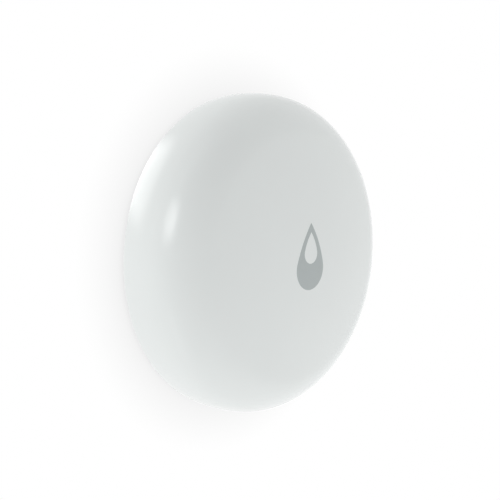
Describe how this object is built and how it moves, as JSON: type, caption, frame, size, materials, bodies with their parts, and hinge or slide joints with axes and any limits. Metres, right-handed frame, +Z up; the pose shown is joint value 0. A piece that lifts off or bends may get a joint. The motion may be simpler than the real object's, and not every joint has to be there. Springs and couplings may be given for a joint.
{
  "type": "water leak sensor",
  "caption": "Round domed battery leak sensor: white dome with a grey drop, probe heads and a coin-slot battery cover underneath.",
  "frame": {"origin": "middle of the foot ring's resting plane, under the disc's centre", "axes": "+Z up through the dome, +Y towards the tip of the drop, +X to the right seen from above"},
  "size_m": [0.05, 0.05, 0.015],
  "materials": {
    "gloss_white": "glossy white moulding",
    "mark_grey": "grey inlay, flush and glossy",
    "satin_white": "fine satin moulding",
    "seal_rubber": "smooth moulded rubber",
    "foam_grey": "closed-cell foam",
    "nickel_steel": "nickel plated",
    "probe_steel": "turned stainless steel",
    "gasket_plastic": "dark plastic ring",
    "cell_pellet": "pressed powder",
    "brass": "turned brass",
    "board_green": "green solder mask",
    "chip_black": "moulded epoxy",
    "ceramic": "fired ceramic",
    "led_lens": "clear epoxy over a small chip",
    "clear_guide": "clear polished plastic"
  },
  "bodies": {
    "housing": {"top_shell": "gloss_white", "drop_mark": "mark_grey", "base_shell": "satin_white", "shell_seal": "seal_rubber", "cell_can": "nickel_steel", "cell_gasket": "gasket_plastic", "cell_lid": "nickel_steel", "cell_core": "cell_pellet", "probe_screw_left": "probe_steel", "probe_screw_right": "probe_steel", "probe_seal_left": "seal_rubber", "probe_seal_right": "seal_rubber", "probe_insert_left": "brass", "probe_insert_right": "brass", "circuit_board": "board_green", "board_screws": "nickel_steel", "radio_chip": "chip_black", "crystal": "nickel_steel", "antenna": "ceramic", "capacitors": "ceramic", "resistors": "chip_black", "status_led": "led_lens", "switch_body": "chip_black", "switch_cover": "nickel_steel", "switch_dome": "nickel_steel", "positive_contact": "nickel_steel", "negative_contact": "nickel_steel"},
    "cover_ring": {"battery_cover_seal": "seal_rubber"},
    "cover": {"battery_cover": "satin_white", "cover_cushion": "foam_grey"},
    "press_button": {"light_guide": "clear_guide", "switch_stem": "chip_black"}
  },
  "joints": [
    {"name": "cover_rise", "type": "slide", "parent": "housing", "child": "cover_ring", "axis": [0, 0, -1], "range_m": [0, 0.0003]},
    {"name": "cover_turn", "type": "hinge", "parent": "cover_ring", "child": "cover", "pos_m": [0, 0, 0.0005], "axis": [0, 0, -1], "range_deg": [0, 45]},
    {"name": "button_press", "type": "slide", "parent": "housing", "child": "press_button", "axis": [0, 0, -1], "range_m": [0, 0.00025], "stiffness_N_per_m": 400, "springref_m": -0.0005, "deforming": ["switch_dome"]}
  ],
  "couplings": [
    {"joint": "cover_turn", "follows": "cover_rise", "rad_per_m": 2618}
  ]
}
